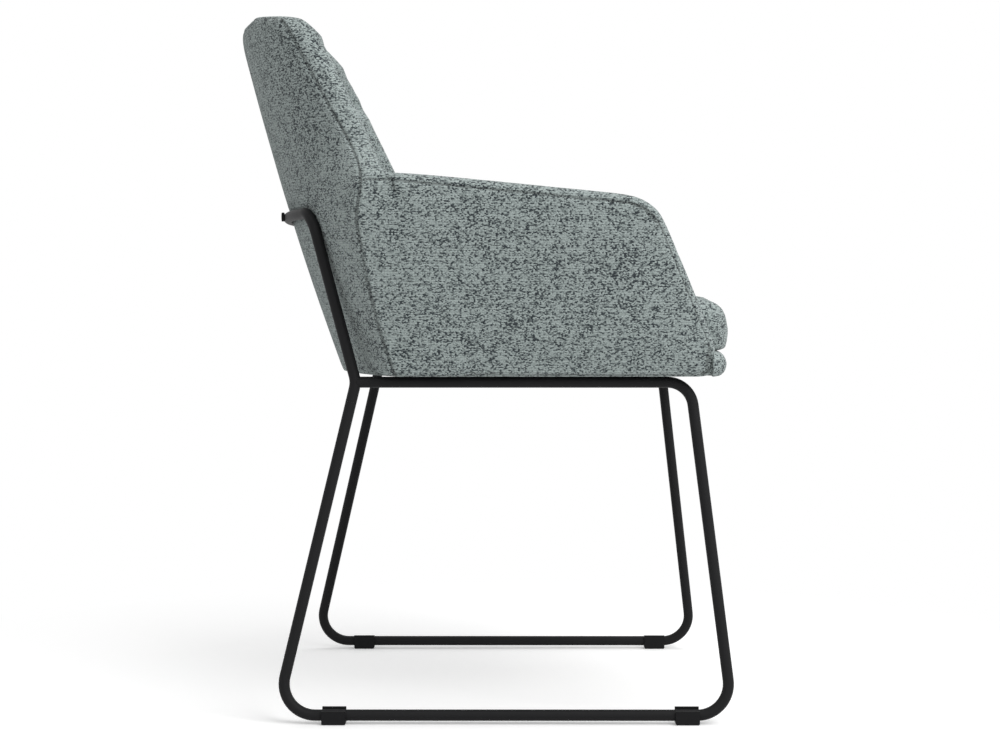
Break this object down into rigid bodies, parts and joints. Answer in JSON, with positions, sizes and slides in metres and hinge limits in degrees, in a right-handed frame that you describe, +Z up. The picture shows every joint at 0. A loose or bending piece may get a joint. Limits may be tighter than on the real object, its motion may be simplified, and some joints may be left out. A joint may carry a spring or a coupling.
{
  "type": "visitor armchair",
  "caption": "Upholstered visitor armchair: a bucket shell with arms, head roll and seat cushion on a bent tube sled frame with a hoop behind the back.",
  "frame": {"origin": "on the floor, below the middle of the whole chair", "axes": "+Z up, the sitter faces -Y, -X is the sitter's right hand"},
  "size_m": [0.5862, 0.6056, 0.8394],
  "materials": {
    "frame_steel": "satin black powder coat",
    "glide_plastic": "moulded matte black",
    "upholstery": "grey-green melange wool tweed",
    "plywood": "raw birch plywood",
    "zinc_steel": "zinc plated",
    "dust_cloth": "black non-woven"
  },
  "bodies": {
    "root": {"right_sled_tube": "frame_steel", "left_sled_tube": "frame_steel", "back_hoop_tube": "frame_steel", "front_cross_bar": "frame_steel", "rear_cross_bar": "frame_steel", "tube_spigots": "zinc_steel", "right_front_glide": "glide_plastic", "left_front_glide": "glide_plastic", "right_rear_glide": "glide_plastic", "left_rear_glide": "glide_plastic", "outer_back_cover": "upholstery", "back_inner_pad": "upholstery", "head_roll": "upholstery", "right_side_cover": "upholstery", "left_side_cover": "upholstery", "right_arm_pad": "upholstery", "left_arm_pad": "upholstery", "seat_base_pad": "upholstery", "seat_cushion": "upholstery", "seat_board": "plywood", "back_board": "plywood", "right_arm_board": "plywood", "left_arm_board": "plywood", "seat_bolts": "zinc_steel", "seat_washers": "zinc_steel", "seat_tee_nuts": "zinc_steel", "hoop_bolts": "frame_steel", "hoop_tee_nuts": "zinc_steel", "dust_cover": "dust_cloth", "dust_cover_staples": "zinc_steel"}
  },
  "joints": []
}
